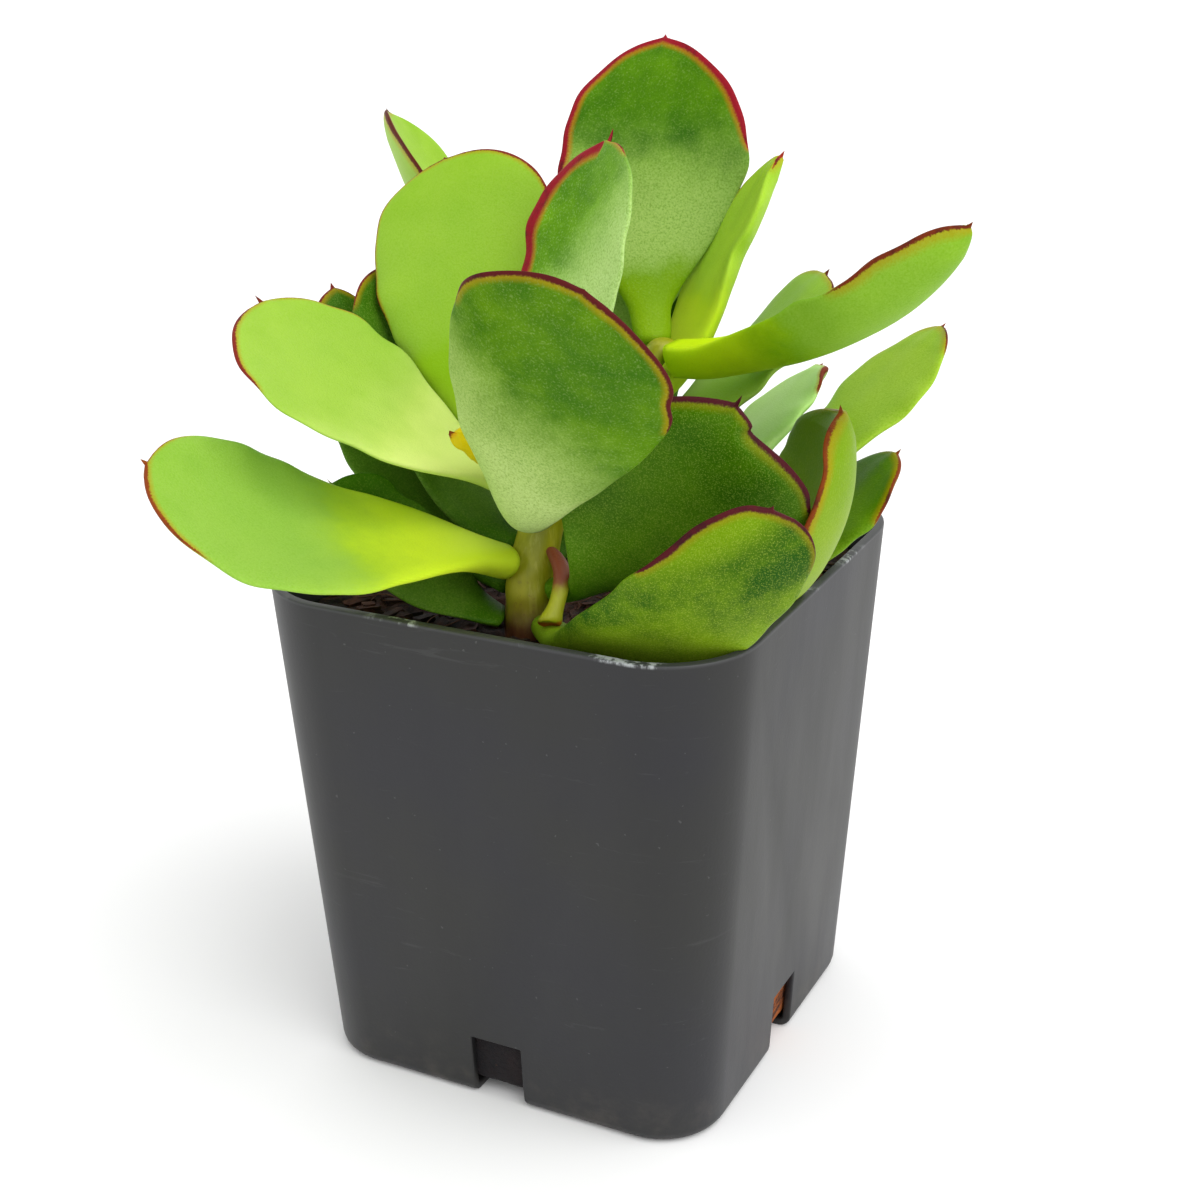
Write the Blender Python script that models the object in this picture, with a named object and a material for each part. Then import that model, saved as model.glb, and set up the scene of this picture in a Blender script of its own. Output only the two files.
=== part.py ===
"""A potted cotyledon: a square nursery pot, its soil, two fleshy stems and their spoon-shaped leaves.

Metres, +Z up. The origin is the middle of the pot's foot, and the pot's sides face X and Y.
"""

import math

import bmesh
import bpy
import numpy as np
from mathutils import Vector

MM = 0.001

# Driving dimensions: the pot
POT_TOP_WIDTH = 57.0 * MM
POT_BOTTOM_WIDTH = 49.0 * MM
POT_HEIGHT = 59.5 * MM
POT_TOP_CORNER = 10.4 * MM
POT_BOTTOM_CORNER = 7.5 * MM
POT_WALL = 1.0 * MM
FLOOR_THICKNESS = 1.2 * MM
SLOT_WIDTH = 6.3 * MM
SLOT_HEIGHT = 8.0 * MM
SLOT_REACH = 5.0 * MM
CUT_PAST = 1.0 * MM
CORNER_STEPS = 6

# Driving dimensions: the plant, as it grows in a pot of this width
GROWN_IN_WIDTH = 57.0 * MM
SOIL_BELOW_RIM = 5.5 * MM
STEM_DIAMETER = 5.2 * MM
STEM_IN_SOIL = 9.0 * MM
LEAF_THICKNESS = 2.6 * MM
TIP_POINT = 1.2 * MM
LEAF_RINGS = 14
LEAF_SIDES = 10

# Pieces that touch keep this gap. A leaf's foot is flat and its stem many-sided, so it keeps a little more.
GAP = 0.3 * MM
FOOT_SPARE = 0.05 * MM

# A plant fills the pot that it grows in, so its sizes follow the pot's width
PLANT_SCALE = POT_TOP_WIDTH / GROWN_IN_WIDTH
SOIL_TOP = POT_HEIGHT - SOIL_BELOW_RIM * PLANT_SCALE

# Each stem's route: x, y, height over the pot's rim (mm), and its thickness as a share of STEM_DIAMETER
STEMS = {
    "main_stem": (
        (0.0, -14.0, -6.5, 1.0),
        (-0.2, -13.0, 1.5, 0.96),
        (0.6, -10.6, 8.5, 0.92),
        (3.4, -7.0, 15.0, 0.85),
        (7.2, -3.6, 20.5, 0.73),
        (10.0, -1.2, 24.5, 0.62),
    ),
    "side_stem": (
        (13.0, -5.0, -6.5, 0.85),
        (14.0, -4.0, 0.5, 0.73),
        (15.0, -3.0, 5.5, 0.65),
    ),
}

# What every leaf has unless it says otherwise. Lengths are in mm and angles in degrees:
#   height    where it leaves its stem, over the pot's rim
#   heading   the way it points, seen from above, from +X towards +Y
#   rise      how steeply it sets off, with bend added by two fifths of its length and curl by its tip
#   swing     how far the heading turns by the tip
#   roll      how far the blade leans over about its midrib, with twist added by the tip
#   petiole   share of the length before the blade starts to widen
#   widest    where along the blade it is widest
#   blunt     how quickly it narrows past there: a low number gives a blunt end
#   neck      width at the foot
#   cup       how far the edges stand up, as a share of the half width
#   skew      how much wider the left half is than the right
PLAIN_LEAF = dict(stem="main_stem", bend=0, curl=0, swing=0, roll=0, twist=0,
                  petiole=0.05, widest=0.6, blunt=0.5, neck=4.0, cup=0.05, skew=0.0)

LEAVES = {
    # low on the main stem, reaching over the rim
    "leaf_low_left": dict(height=2, heading=234, rise=25, bend=-36, curl=56, swing=-10, roll=3, twist=-30,
                          length=41.5, width=24.5, petiole=0.02, neck=5, cup=0.15, skew=0.15),
    "leaf_low_front": dict(height=-3.5, heading=-41, rise=-2, bend=12, curl=49, swing=53, roll=-47, twist=-6,
                           length=40.5, width=15.5, petiole=0.15, widest=0.55, blunt=0.35, neck=3.6,
                           cup=0.02, skew=0.2),
    "leaf_low_shaded": dict(height=-4, heading=202, rise=36, bend=2, curl=5, swing=-20, roll=27,
                            length=23.5, width=6, petiole=0.15, widest=0.55, blunt=0.45, neck=3.6),
    "leaf_low_back_left": dict(height=-0.5, heading=164, rise=15, bend=22, curl=24, swing=-8, roll=-4, twist=8,
                               length=42, width=14.5, petiole=0.02, widest=0.55, blunt=0.6, neck=4.5,
                               skew=0.05),
    "leaf_low_back": dict(height=1, heading=97, rise=28, bend=10, curl=10, length=35.5, width=19,
                          petiole=0.15, blunt=0.45, neck=4.5, cup=0.1),
    "leaf_broad_right": dict(height=-0.5, heading=-9, rise=24, bend=21, curl=13, swing=-10, roll=-52, twist=-6,
                             length=36, width=26.5, petiole=0.02, blunt=0.95, cup=0.1, skew=0.05),
    # half way up the main stem
    "leaf_front_upright": dict(height=7.5, heading=-78, rise=10, bend=50, curl=-15, swing=52, roll=-25, twist=-26,
                               length=47.5, width=22.5, petiole=0.02, widest=0.75, blunt=0.55, neck=4.5,
                               skew=0.15),
    "leaf_mid_left": dict(height=8.5, heading=216, rise=33, bend=-9, curl=20, swing=-40, roll=-10, twist=11,
                          length=35.5, width=25.5, widest=0.65, blunt=0.55, cup=0.1, skew=0.1),
    "leaf_mid_back_left": dict(height=3, heading=154, rise=18, bend=26, curl=12, swing=-10, roll=24, twist=5,
                               length=39, width=21, petiole=0.02, blunt=0.55, skew=0.05),
    "leaf_mid_back": dict(height=8.5, heading=87, rise=37, bend=9, curl=10, roll=-1, length=33, width=18,
                          petiole=0.15, blunt=0.45, neck=4.5, cup=0.1),
    "leaf_broad_left": dict(height=10.5, heading=168, rise=26, bend=54, curl=-25, swing=-45, roll=-51, twist=9,
                            length=38.5, width=24, petiole=0.1, widest=0.7, blunt=0.55, neck=3.6,
                            cup=0.02, skew=-0.1),
    "leaf_young_left": dict(height=12, heading=256, rise=14, bend=-1, curl=22, swing=17, roll=87, twist=31,
                            length=20, width=8, petiole=0.15, blunt=0.3, neck=3.5, cup=0.1, skew=0.1),
    "leaf_tall_back_left": dict(height=15, heading=146, rise=8, bend=18, curl=28, swing=8, roll=68, twist=-34,
                                length=51.5, width=21, petiole=0.2, blunt=0.55, neck=3.6, cup=0.3),
    "leaf_mid_right": dict(height=14.5, heading=40, rise=19, bend=6, curl=30, swing=-8, roll=-5, twist=5,
                           length=31, width=16, petiole=0.15, blunt=0.4, cup=0.02, skew=-0.1),
    # the crown
    "leaf_crown_front": dict(height=16, heading=-98, rise=55, bend=41, curl=28, swing=2, roll=-16, twist=-10,
                             length=32.5, width=18, blunt=0.45, neck=4.5, cup=0.15, skew=-0.05),
    "leaf_crown_back": dict(height=17.5, heading=104, rise=41, bend=9, curl=4, swing=-11, roll=-3, twist=-1,
                            length=39, width=23, petiole=0.15, blunt=0.3, cup=0.1, skew=-0.05),
    "leaf_crown_narrow": dict(height=20, heading=57, rise=40, bend=29, curl=-9, swing=-19, roll=5, twist=-11,
                              length=31, width=8.5, petiole=0.02, widest=0.5, blunt=0.6, neck=3.6,
                              cup=0.25, skew=0.05),
    "leaf_crown_top": dict(height=24, heading=126, rise=60, curl=2, swing=-34, roll=1, twist=-6,
                           length=35, width=21, petiole=0.3, blunt=0.7, neck=3.6, cup=0.1, skew=-0.05),
    "leaf_crown_right": dict(height=24, heading=-4, rise=10, bend=-11, curl=56, swing=-16, roll=23, twist=-2,
                             length=40, width=15, petiole=0.02, widest=0.55, blunt=0.6, cup=0.25),
    # the side shoot
    "side_leaf_back": dict(stem="side_stem", height=5.5, heading=90, rise=28, curl=2, swing=-23, roll=-31, twist=4,
                           length=26.5, width=15, petiole=0.15, widest=0.65, blunt=0.6, skew=0.1),
    "side_leaf_long": dict(stem="side_stem", height=2, heading=62, rise=28, bend=1, curl=10, swing=-7, roll=-5,
                           twist=-5, length=39, width=14.5, petiole=0.2, widest=0.65, blunt=0.55, skew=-0.05),
    "side_leaf_folded": dict(stem="side_stem", height=-0.5, heading=0, rise=-17, bend=40, curl=80, swing=17,
                             roll=23, twist=-10, length=31.5, width=22, petiole=0.1, widest=0.55, blunt=0.45,
                             cup=0.4, skew=0.1),
    "side_leaf_low": dict(stem="side_stem", height=-3, heading=56, rise=7, bend=8, curl=34, swing=-17, roll=-1,
                          twist=-2, length=29, width=14, petiole=0.1, widest=0.55, neck=3.6,
                          cup=0.02, skew=-0.05),
}

# The stump of a fallen leaf: its way round the stem and the points of its axis, out from the stem and
# over the rim, with its radius (mm)
STUMP_HEADING = -54.0
STUMP = ((3.2, 3.3, 1.1), (2.6, 1.7, 0.8), (2.2, 0.5, 0.85), (1.9, -0.3, 1.0))


def material(name, colour, roughness):
    """A plain Principled material."""
    made = bpy.data.materials.new(name)
    made.use_nodes = True
    shader = made.node_tree.nodes["Principled BSDF"]
    shader.inputs["Base Color"].default_value = (*colour, 1)
    shader.inputs["Roughness"].default_value = roughness
    made.diffuse_color = (*colour, 1)
    return made


def add_object(name, mesh, look, collection):
    """The mesh as an object with one material, smooth but for its hard edges."""
    mesh.materials.append(look)
    mesh.shade_smooth()
    mesh.set_sharp_from_angle(angle=math.radians(40))
    made = bpy.data.objects.new(name, mesh)
    collection.objects.link(made)
    return made


def lofted_mesh(name, rings):
    """A closed mesh through rings of equally many points, each ring counter-clockwise about the way on."""
    sides = len(rings[0])
    points = [point for ring in rings for point in ring]
    faces = [tuple(reversed(range(sides)))]
    for ring in range(len(rings) - 1):
        start = ring * sides
        for side in range(sides):
            after = (side + 1) % sides
            faces.append((start + side, start + after, start + sides + after, start + sides + side))
    faces.append(tuple(range(len(points) - sides, len(points))))
    mesh = bpy.data.meshes.new(name)
    mesh.from_pydata(points, [], faces)
    return mesh


# ---------------------------------------------------------------- pot and soil
def square_ring(half, corner, height):
    """A square with round corners at one height, counter-clockwise from above."""
    points = []
    for quarter in range(4):
        middle = math.radians(45 + 90 * quarter)
        x = math.copysign(half - corner, math.cos(middle))
        y = math.copysign(half - corner, math.sin(middle))
        for step in range(CORNER_STEPS + 1):
            turn = math.radians(90 * (quarter + step / CORNER_STEPS))
            points.append((x + corner * math.cos(turn), y + corner * math.sin(turn), height))
    return points


def pot_section(height, inset):
    """The pot's outline at this height, moved inwards from its outer face."""
    up = height / POT_HEIGHT
    half = (POT_BOTTOM_WIDTH + (POT_TOP_WIDTH - POT_BOTTOM_WIDTH) * up) / 2
    corner = POT_BOTTOM_CORNER + (POT_TOP_CORNER - POT_BOTTOM_CORNER) * up
    return square_ring(half - inset, corner - inset, height)


def add_pot(collection, cutters, look):
    """The thin tapered shell with its floor, and a drain slot low in the middle of each side."""
    rings = [
        pot_section(0, 0),
        pot_section(POT_HEIGHT, 0),
        pot_section(POT_HEIGHT, POT_WALL),
        pot_section(FLOOR_THICKNESS, POT_WALL),
    ]
    pot = add_object("pot", lofted_mesh("pot", rings), look, collection)

    # each cutter runs from outside the slanting wall to SLOT_REACH in from the wall's foot
    slots = bmesh.new()
    inner = POT_BOTTOM_WIDTH / 2 - SLOT_REACH
    outer = POT_TOP_WIDTH / 2 + CUT_PAST
    for quarter in range(4):
        made = bmesh.ops.create_cube(slots, size=1)["verts"]
        bmesh.ops.scale(slots, vec=(outer - inner, SLOT_WIDTH, SLOT_HEIGHT + CUT_PAST), verts=made)
        bmesh.ops.translate(slots, vec=((inner + outer) / 2, 0, (SLOT_HEIGHT - CUT_PAST) / 2), verts=made)
        turn = math.radians(90 * quarter)
        spin = np.array(((math.cos(turn), -math.sin(turn)), (math.sin(turn), math.cos(turn))))
        for vert in made:
            vert.co.xy = spin @ vert.co.xy
    mesh = bpy.data.meshes.new("slot_cutters")
    slots.to_mesh(mesh)
    slots.free()
    cutter = bpy.data.objects.new("slot_cutters", mesh)
    cutters.objects.link(cutter)
    cutter.hide_render = True
    cutter.display_type = "WIRE"
    cut = pot.modifiers.new("drain_slots", "BOOLEAN")
    cut.operation = "DIFFERENCE"
    cut.object = cutter


def add_soil(collection, cutters, look):
    """The block of soil, with a pocket round each buried stem."""
    soil_bottom = FLOOR_THICKNESS + GAP
    inset = POT_WALL + GAP
    soil = add_object("soil", lofted_mesh("soil", [pot_section(soil_bottom, inset), pot_section(SOIL_TOP, inset)]),
                      look, collection)
    for name, route in STEMS.items():
        x, y, above_rim, share = route[0]
        deep = STEM_IN_SOIL + GAP
        bpy.ops.mesh.primitive_cylinder_add(
            vertices=16,
            radius=stem_radius(share) + 2 * GAP,
            depth=2 * deep,
            location=(x * MM * PLANT_SCALE, y * MM * PLANT_SCALE, SOIL_TOP),
        )
        cutter = bpy.context.object
        cutter.name = name + "_pocket"
        for owner in cutter.users_collection:
            owner.objects.unlink(cutter)
        cutters.objects.link(cutter)
        cutter.hide_render = True
        cutter.display_type = "WIRE"
        cut = soil.modifiers.new(name + "_pocket", "BOOLEAN")
        cut.operation = "DIFFERENCE"
        cut.object = cutter


# ---------------------------------------------------------------- stems
def stem_radius(share):
    return STEM_DIAMETER / 2 * share * PLANT_SCALE


def stem_points(name):
    """The stem's route in metres with its radius, from its buried end up."""
    route = [(x * MM * PLANT_SCALE, y * MM * PLANT_SCALE, POT_HEIGHT + over * MM * PLANT_SCALE, stem_radius(share))
             for x, y, over, share in STEMS[name]]
    x, y, _, radius = route[0]
    return [(x, y, SOIL_TOP - STEM_IN_SOIL, radius)] + route


def stem_at(name, height):
    """A stem's axis and radius at this height."""
    route = np.array(stem_points(name))
    height = min(height, route[-1, 2])
    x, y, radius = (np.interp(height, route[:, 2], route[:, column]) for column in (0, 1, 3))
    return Vector((x, y, height)), radius


def add_curve(name, points, look, collection):
    """A tapered round stalk through x, y, z, radius points."""
    widest = max(point[3] for point in points)
    curve = bpy.data.curves.new(name, "CURVE")
    curve.dimensions = "3D"
    curve.bevel_depth = widest
    curve.bevel_resolution = 2
    curve.use_fill_caps = True
    spline = curve.splines.new("POLY")
    spline.points.add(len(points) - 1)
    for knot, (x, y, z, radius) in zip(spline.points, points):
        knot.co = (x, y, z, 1)
        knot.radius = radius / widest
    curve.materials.append(look)
    made = bpy.data.objects.new(name, curve)
    collection.objects.link(made)


def add_stump(collection, look):
    """What is left of a fallen leaf's stalk, hanging beside the main stem."""
    turn = math.radians(STUMP_HEADING)
    points = []
    for out, above_rim, radius in STUMP:
        height = POT_HEIGHT + above_rim * MM * PLANT_SCALE
        middle, stem = stem_at("main_stem", height)
        reach = stem + GAP + out * MM * PLANT_SCALE
        points.append((middle.x + reach * math.cos(turn), middle.y + reach * math.sin(turn), height,
                       radius * MM * PLANT_SCALE))
    add_curve("petiole_stump", points, look, collection)


# ---------------------------------------------------------------- leaves
def eased(share):
    share = np.clip(share, 0, 1)
    return share * share * (3 - 2 * share)


def leaf_axes(leaf, along):
    """At these shares of the length: the way on, the way to the left edge, and the way out of the upper face."""
    heading = np.radians(leaf["heading"] + leaf["swing"] * along)
    rise = np.radians(leaf["rise"] + leaf["bend"] * eased(along / 0.4) + leaf["curl"] * along)
    roll = np.radians(leaf["roll"] * eased(along / 0.35) + leaf["twist"] * along)[:, None]
    forward = np.stack([np.cos(heading) * np.cos(rise), np.sin(heading) * np.cos(rise), np.sin(rise)], axis=1)
    level = np.stack([-np.sin(heading), np.cos(heading), 0 * heading], axis=1)
    upright = np.cross(forward, level)
    left = level * np.cos(roll) + upright * np.sin(roll)
    upper = upright * np.cos(roll) - level * np.sin(roll)
    return forward, left, upper


def leaf_foot(leaf):
    """Where the midrib starts: just clear of the stem's side."""
    height = POT_HEIGHT + leaf["height"] * MM * PLANT_SCALE
    step = 1.5 * MM * PLANT_SCALE
    middle, radius = stem_at(leaf["stem"], height)
    way_up = (stem_at(leaf["stem"], height + step)[0] - stem_at(leaf["stem"], height - step)[0]).normalized()
    turn = math.radians(leaf["heading"])
    out = Vector((math.cos(turn), math.sin(turn), 0))
    out = (out - way_up * out.dot(way_up)).normalized()
    upper = Vector(leaf_axes(leaf, np.array([0.0]))[2][0])
    half_thickness = leaf_thickness(leaf, np.array([0.0]))[0] / 2
    return middle + out * (radius + GAP + FOOT_SPARE + abs(upper.dot(out)) * half_thickness)


def leaf_midrib(leaf, along):
    steps = 300
    forward = leaf_axes(leaf, (np.arange(steps) + 0.5) / steps)[0]
    walked = np.vstack([np.zeros(3), np.cumsum(forward, axis=0)]) * leaf["length"] * MM * PLANT_SCALE / steps
    knots = np.arange(steps + 1) / steps
    return np.stack([np.interp(along, knots, walked[:, axis]) for axis in range(3)], axis=1) + leaf_foot(leaf)


def leaf_half_width(leaf, along):
    """Half the width: a neck at the foot, a spoon-shaped blade, and a small point at the tip."""
    point = TIP_POINT / (leaf["length"] * MM)
    blade = np.clip(along / (1 - point), 0, 1)
    grown = np.clip((blade - leaf["petiole"]) / (1 - leaf["petiole"]), 0, 1)
    narrowing = leaf["blunt"]
    widening = max(leaf["widest"] * narrowing / (1 - leaf["widest"]), 0.8)
    peak = widening / (widening + narrowing)
    spoon = (grown / peak) ** widening * ((1 - grown) / (1 - peak)) ** narrowing * leaf["width"] / 2
    neck = leaf["neck"] / 2 * np.sqrt(1 - blade)
    tip = 0.55 * np.clip((1 - along) / (2 * point), 0, 1)
    return np.maximum(np.cbrt(neck**3 + spoon**3), tip) * MM * PLANT_SCALE


def leaf_thickness(leaf, along):
    """Thickest at the foot, and thinning to nothing over the last tenth."""
    return LEAF_THICKNESS * PLANT_SCALE * (1.15 - 0.5 * along) * np.sqrt(np.clip((1 - along) / 0.1, 0, 1))


def add_leaf(name, shape, look, collection):
    leaf = {**PLAIN_LEAF, **shape}
    along = 1 - (1 - np.linspace(0, 1, LEAF_RINGS + 1)) ** 1.3
    along[-1] = 0.995
    midrib = leaf_midrib(leaf, along)
    _, left, upper = leaf_axes(leaf, along)
    half = leaf_half_width(leaf, along)
    thick = np.minimum(leaf_thickness(leaf, along), 1.8 * half)
    rings = []
    for turn in np.arange(LEAF_SIDES) / LEAF_SIDES * 2 * math.pi:
        across, through = math.cos(turn), math.sin(turn)
        reach = half * (1 + leaf["skew"] * math.copysign(1, across)) * across
        lift = leaf["cup"] * half * across**2 + thick / 2 * through
        rings.append(midrib + left * reach[:, None] + upper * lift[:, None])
    add_object(name, lofted_mesh(name, np.stack(rings, axis=1).tolist()), look, collection)


# ---------------------------------------------------------------- the object
for old in list(bpy.data.objects):
    bpy.data.objects.remove(old)
plant = bpy.data.collections.new("potted_cotyledon")
cutting = bpy.data.collections.new("cutters")
bpy.context.scene.collection.children.link(plant)
bpy.context.scene.collection.children.link(cutting)

pot_look = material("pot_plastic", (0.06, 0.06, 0.063), 0.55)
soil_look = material("potting_soil", (0.045, 0.028, 0.018), 0.95)
stem_look = material("stem_skin", (0.33, 0.36, 0.06), 0.5)
leaf_look = material("leaf_skin", (0.22, 0.42, 0.04), 0.42)
stump_look = material("stump_skin", (0.42, 0.30, 0.06), 0.55)

add_pot(plant, cutting, pot_look)
add_soil(plant, cutting, soil_look)
for stem in STEMS:
    add_curve(stem, stem_points(stem), stem_look, plant)
add_stump(plant, stump_look)
for leaf_name, leaf_shape in LEAVES.items():
    add_leaf(leaf_name, leaf_shape, leaf_look, plant)
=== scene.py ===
"""The looks of a potted cotyledon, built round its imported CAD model.

Metres, +Z up, with the origin under the middle of the pot and the pot's sides facing X and Y.
"""

import math
import random

import bmesh
import bpy
import numpy as np
from mathutils import Matrix, Vector


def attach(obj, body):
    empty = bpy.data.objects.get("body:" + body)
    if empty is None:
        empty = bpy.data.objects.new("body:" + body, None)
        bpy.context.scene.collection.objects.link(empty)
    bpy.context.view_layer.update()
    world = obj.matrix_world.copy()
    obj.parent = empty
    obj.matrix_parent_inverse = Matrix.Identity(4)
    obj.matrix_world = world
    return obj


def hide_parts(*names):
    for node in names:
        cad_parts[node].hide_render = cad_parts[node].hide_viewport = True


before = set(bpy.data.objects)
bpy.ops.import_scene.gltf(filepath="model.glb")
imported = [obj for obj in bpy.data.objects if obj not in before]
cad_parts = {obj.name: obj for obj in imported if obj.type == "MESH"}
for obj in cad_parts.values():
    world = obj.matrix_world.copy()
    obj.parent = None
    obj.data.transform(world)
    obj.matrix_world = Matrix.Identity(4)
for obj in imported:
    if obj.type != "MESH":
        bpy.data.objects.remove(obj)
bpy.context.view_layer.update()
MM = 0.001

# ---------------------------------------------------------------- camera
# It stands about 23 cm away, before the corner between the front and right sides, and looks down a little.
CAMERA_PLACE = (0.0964, -0.1882, 0.1373)
CAMERA_HEADING = 0.4672
CAMERA_TILT = 0.3804
CAMERA_ROLL = -0.0155
camera = bpy.data.objects.new("camera", bpy.data.cameras.new("camera"))
bpy.context.scene.collection.objects.link(camera)
bpy.context.scene.camera = camera
camera.data.lens = 59.52
camera.data.sensor_width = 36
camera.data.clip_start = 0.01
upright = Matrix.Rotation(math.pi / 2 - CAMERA_TILT, 4, "X") @ Matrix.Rotation(CAMERA_ROLL, 4, "Z")
camera.matrix_world = Matrix.Translation(CAMERA_PLACE) @ Matrix.Rotation(CAMERA_HEADING, 4, "Z") @ upright


# ---------------------------------------------------------------- pot
# A thin nursery pot, blow moulded in dark polypropylene. It tapers to a smaller foot, its corners are
# round, and a slot low in the middle of each side runs on into the floor to drain it.
POT_TOP = 57.0 * MM
POT_FOOT = 49.0 * MM
POT_HEIGHT = 59.5 * MM
POT_CORNER = 10.4 * MM
FOOT_CORNER = 7.5 * MM
POT_WALL = 1.0 * MM
SLOT_WIDTH = 6.3 * MM
SLOT_HEIGHT = 8.0 * MM
SLOT_REACH = 5.0 * MM
FOOT_ROUNDING = 1.4 * MM
EDGE_ROUNDING = 0.22 * MM
JUST = 0.1 * MM


def srgb(red, green, blue):
    """A screen colour, 0 to 255, as the linear colour that shaders take."""
    shares = [value / 255 for value in (red, green, blue)]
    return (*[s / 12.92 if s <= 0.04045 else ((s + 0.055) / 1.055) ** 2.4 for s in shares], 1)


def plug(tree, value, socket):
    """Gives a socket its value, or joins it to another."""
    if isinstance(value, bpy.types.NodeSocket):
        tree.links.new(value, socket)
    else:
        socket.default_value = value


def add_node(tree, kind, settings=None, **inputs):
    """A shader node with its settings made, and its inputs given a value or joined to a socket."""
    made = tree.nodes.new("ShaderNode" + kind)
    for name, value in (settings or {}).items():
        setattr(made, name, value)
    for name, value in inputs.items():
        socket = made.inputs[name.replace("_", " ")]
        plug(tree, value, socket)
    return made


def blended(tree, share, under, over):
    """Two colours mixed: all under at 0, all over at 1."""
    made = tree.nodes.new("ShaderNodeMix")
    made.data_type = "RGBA"
    for value, socket in zip((share, under, over), (made.inputs[0], made.inputs[6], made.inputs[7])):
        plug(tree, value, socket)
    return made.outputs[2]


def worked(tree, operation, *values):
    """A sum, product or the like of numbers."""
    made = tree.nodes.new("ShaderNodeMath")
    made.operation = operation
    for value, socket in zip(values, made.inputs):
        plug(tree, value, socket)
    return made.outputs[0]


def ramped(tree, value, low, high, start=0.0, end=1.0):
    """Goes smoothly from start to end as the value goes from low to high."""
    made = tree.nodes.new("ShaderNodeMapRange")
    made.interpolation_type = "SMOOTHSTEP"
    for number, socket in zip((value, low, high, start, end), made.inputs):
        plug(tree, number, socket)
    return made.outputs[0]


def grain(tree, scale, detail=3.0, roughness=0.5, stretch=None, distortion=0.0):
    """Noise from 0 to 1 fixed to the piece, with about one patch every 1 / scale metres."""
    place = add_node(tree, "TexCoord").outputs["Object"]
    if stretch:
        place = add_node(tree, "Mapping", Vector=place, Scale=stretch).outputs["Vector"]
    return add_node(tree, "TexNoise", Vector=place, Scale=scale, Detail=detail, Roughness=roughness,
                    Distortion=distortion).outputs["Fac"]


def new_material(name):
    """A material with its node tree and its Principled shader."""
    made = bpy.data.materials.new(name)
    made.use_nodes = True
    return made, made.node_tree, made.node_tree.nodes["Principled BSDF"]


def rough_up(tree, shader, height, depth, share=1.0):
    """A bump this deep, in metres, on the shader's normal."""
    bump = add_node(tree, "Bump", Height=height, Distance=depth, Strength=share)
    tree.links.new(bump.outputs["Normal"], shader.inputs["Normal"])


def box_at(name, size, middle):
    """A box at its size and place, alone in the selection, with its place in its mesh."""
    bpy.ops.object.select_all(action="DESELECT")
    bpy.ops.mesh.primitive_cube_add(size=1, location=middle, scale=size)
    bpy.ops.object.transform_apply(location=True, rotation=True, scale=True)
    bpy.context.object.name = name
    bpy.context.object.data.name = name
    return bpy.context.object


def pick(part, test):
    """In edit mode, selects only the vertices, edges or faces whose middle passes the test."""
    mesh = bmesh.from_edit_mesh(bpy.context.object.data)
    for group in (mesh.faces, mesh.edges, mesh.verts):
        for item in group:
            item.select_set(False)
    for item in getattr(mesh, part):
        middle = item.co if part == "verts" else sum((v.co for v in item.verts), Vector()) / len(item.verts)
        if test(middle, item):
            item.select_set(True)
    mesh.select_flush_mode()
    bmesh.update_edit_mesh(bpy.context.object.data)


def square_block(name, top, foot, height, corner, foot_corner, low=0.0):
    """A block with round upright corners that tapers to its foot."""
    block = box_at(name, (top, top, height), (0, 0, low + height / 2))
    bpy.ops.object.mode_set(mode="EDIT")
    bpy.ops.mesh.select_mode(type="EDGE")
    pick("edges", lambda middle, edge: abs(edge.verts[0].co.z - edge.verts[1].co.z) > height / 2)
    bpy.ops.mesh.bevel(offset=corner, segments=14, affect="EDGES")
    bpy.ops.mesh.select_mode(type="VERT")
    pick("verts", lambda middle, vert: middle.z < low + height / 2)
    bpy.ops.transform.resize(value=(foot / top, foot / top, 1), center_override=(0, 0, low))
    tighter = foot_corner / (corner * foot / top)
    for x in (-1, 1):
        for y in (-1, 1):
            pick("verts", lambda middle, vert: middle.z < low + height / 2 and middle.x * x > 0 and middle.y * y > 0)
            bpy.ops.transform.resize(value=(tighter, tighter, 1), center_override=(x * foot / 2, y * foot / 2, low))
    bpy.ops.object.mode_set(mode="OBJECT")
    return block


def finish_with(piece, kind, **settings):
    """Puts a modifier on the piece and applies it."""
    bpy.ops.object.select_all(action="DESELECT")
    piece.select_set(True)
    bpy.context.view_layer.objects.active = piece
    made = piece.modifiers.new(kind.lower(), kind)
    for name, value in settings.items():
        setattr(made, name, value)
    bpy.ops.object.modifier_apply(modifier=made.name)


pot = square_block("pot_shell", POT_TOP, POT_FOOT, POT_HEIGHT, POT_CORNER, FOOT_CORNER)
bpy.ops.object.mode_set(mode="EDIT")
bpy.ops.mesh.select_mode(type="FACE")
pick("faces", lambda middle, face: middle.z < JUST)
bpy.ops.mesh.bevel(offset=FOOT_ROUNDING, segments=4, affect="EDGES")
pick("faces", lambda middle, face: middle.z > POT_HEIGHT - JUST)
bpy.ops.mesh.delete(type="FACE")
bpy.ops.object.mode_set(mode="OBJECT")
finish_with(pot, "SOLIDIFY", thickness=POT_WALL, offset=-1, use_even_offset=True)
inner = POT_FOOT / 2 - SLOT_REACH
outer = POT_TOP / 2 + POT_WALL
for quarter in range(4):
    cutter = box_at("slot_cutter", (outer - inner, SLOT_WIDTH, SLOT_HEIGHT + POT_WALL),
                    ((inner + outer) / 2, 0, (SLOT_HEIGHT - POT_WALL) / 2))
    cutter.data.transform(Matrix.Rotation(math.radians(90 * quarter), 4, "Z"))
    finish_with(pot, "BOOLEAN", operation="DIFFERENCE", solver="EXACT", object=cutter)
    bpy.data.objects.remove(cutter)
finish_with(pot, "BEVEL", width=EDGE_ROUNDING, segments=3, limit_method="ANGLE", angle_limit=math.radians(50))
bpy.ops.object.shade_smooth_by_angle(angle=math.radians(35))

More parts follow.
